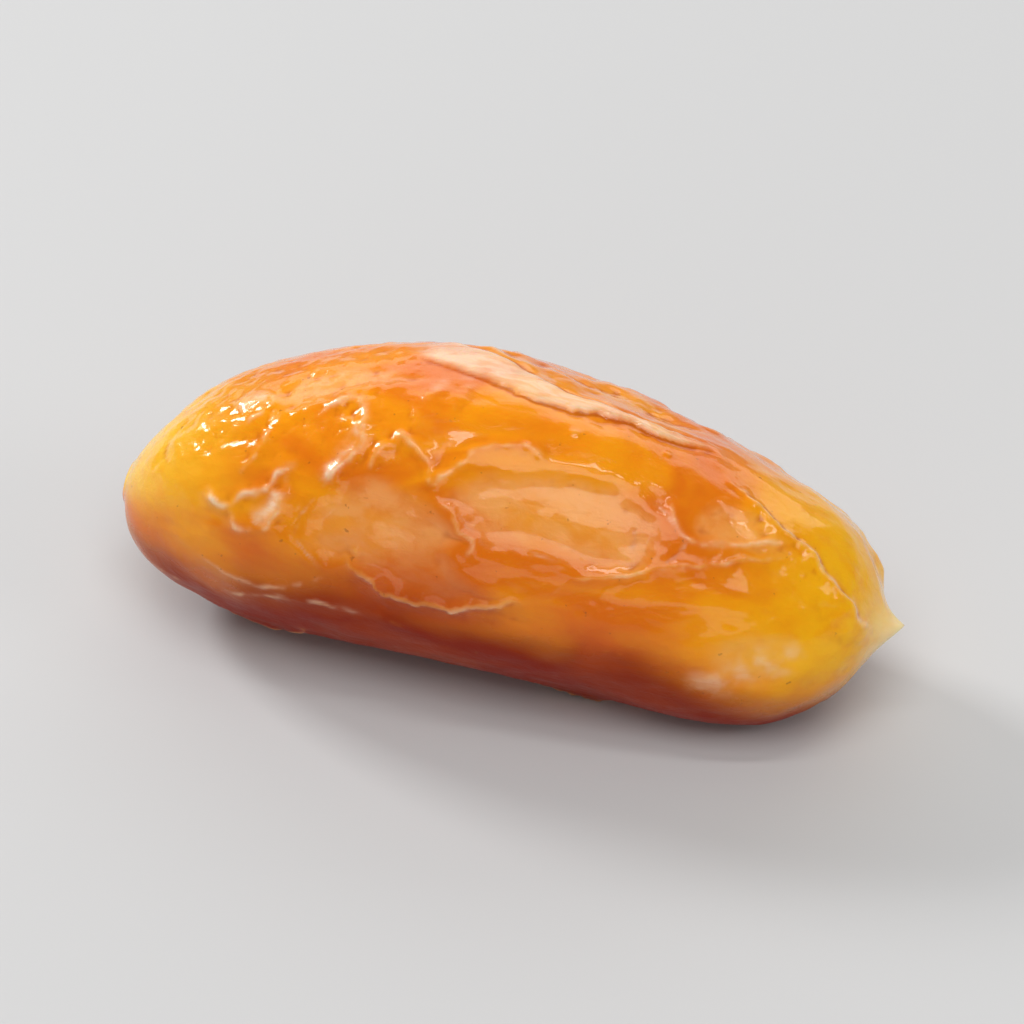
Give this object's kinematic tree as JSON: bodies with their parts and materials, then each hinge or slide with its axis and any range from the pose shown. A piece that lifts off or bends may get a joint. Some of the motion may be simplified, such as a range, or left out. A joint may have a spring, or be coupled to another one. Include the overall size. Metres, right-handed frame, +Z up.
{
  "type": "dried date",
  "caption": "Dried date fruit with glossy wrinkled amber skin, a round stalk end and a small thorn at the pointed end, lying on its side.",
  "frame": {"origin": "on the resting plane, under the middle of the fruit's box", "axes": "+X along the fruit towards its pointed end, +Z up, +Y the side the fruit bows to"},
  "size_m": [0.0434, 0.0176, 0.0171],
  "materials": {
    "date_skin": "glossy, wrinkled, amber going to brown underneath and yellow at both ends"
  },
  "bodies": {
    "root": {"date_fruit": "date_skin"}
  },
  "joints": []
}
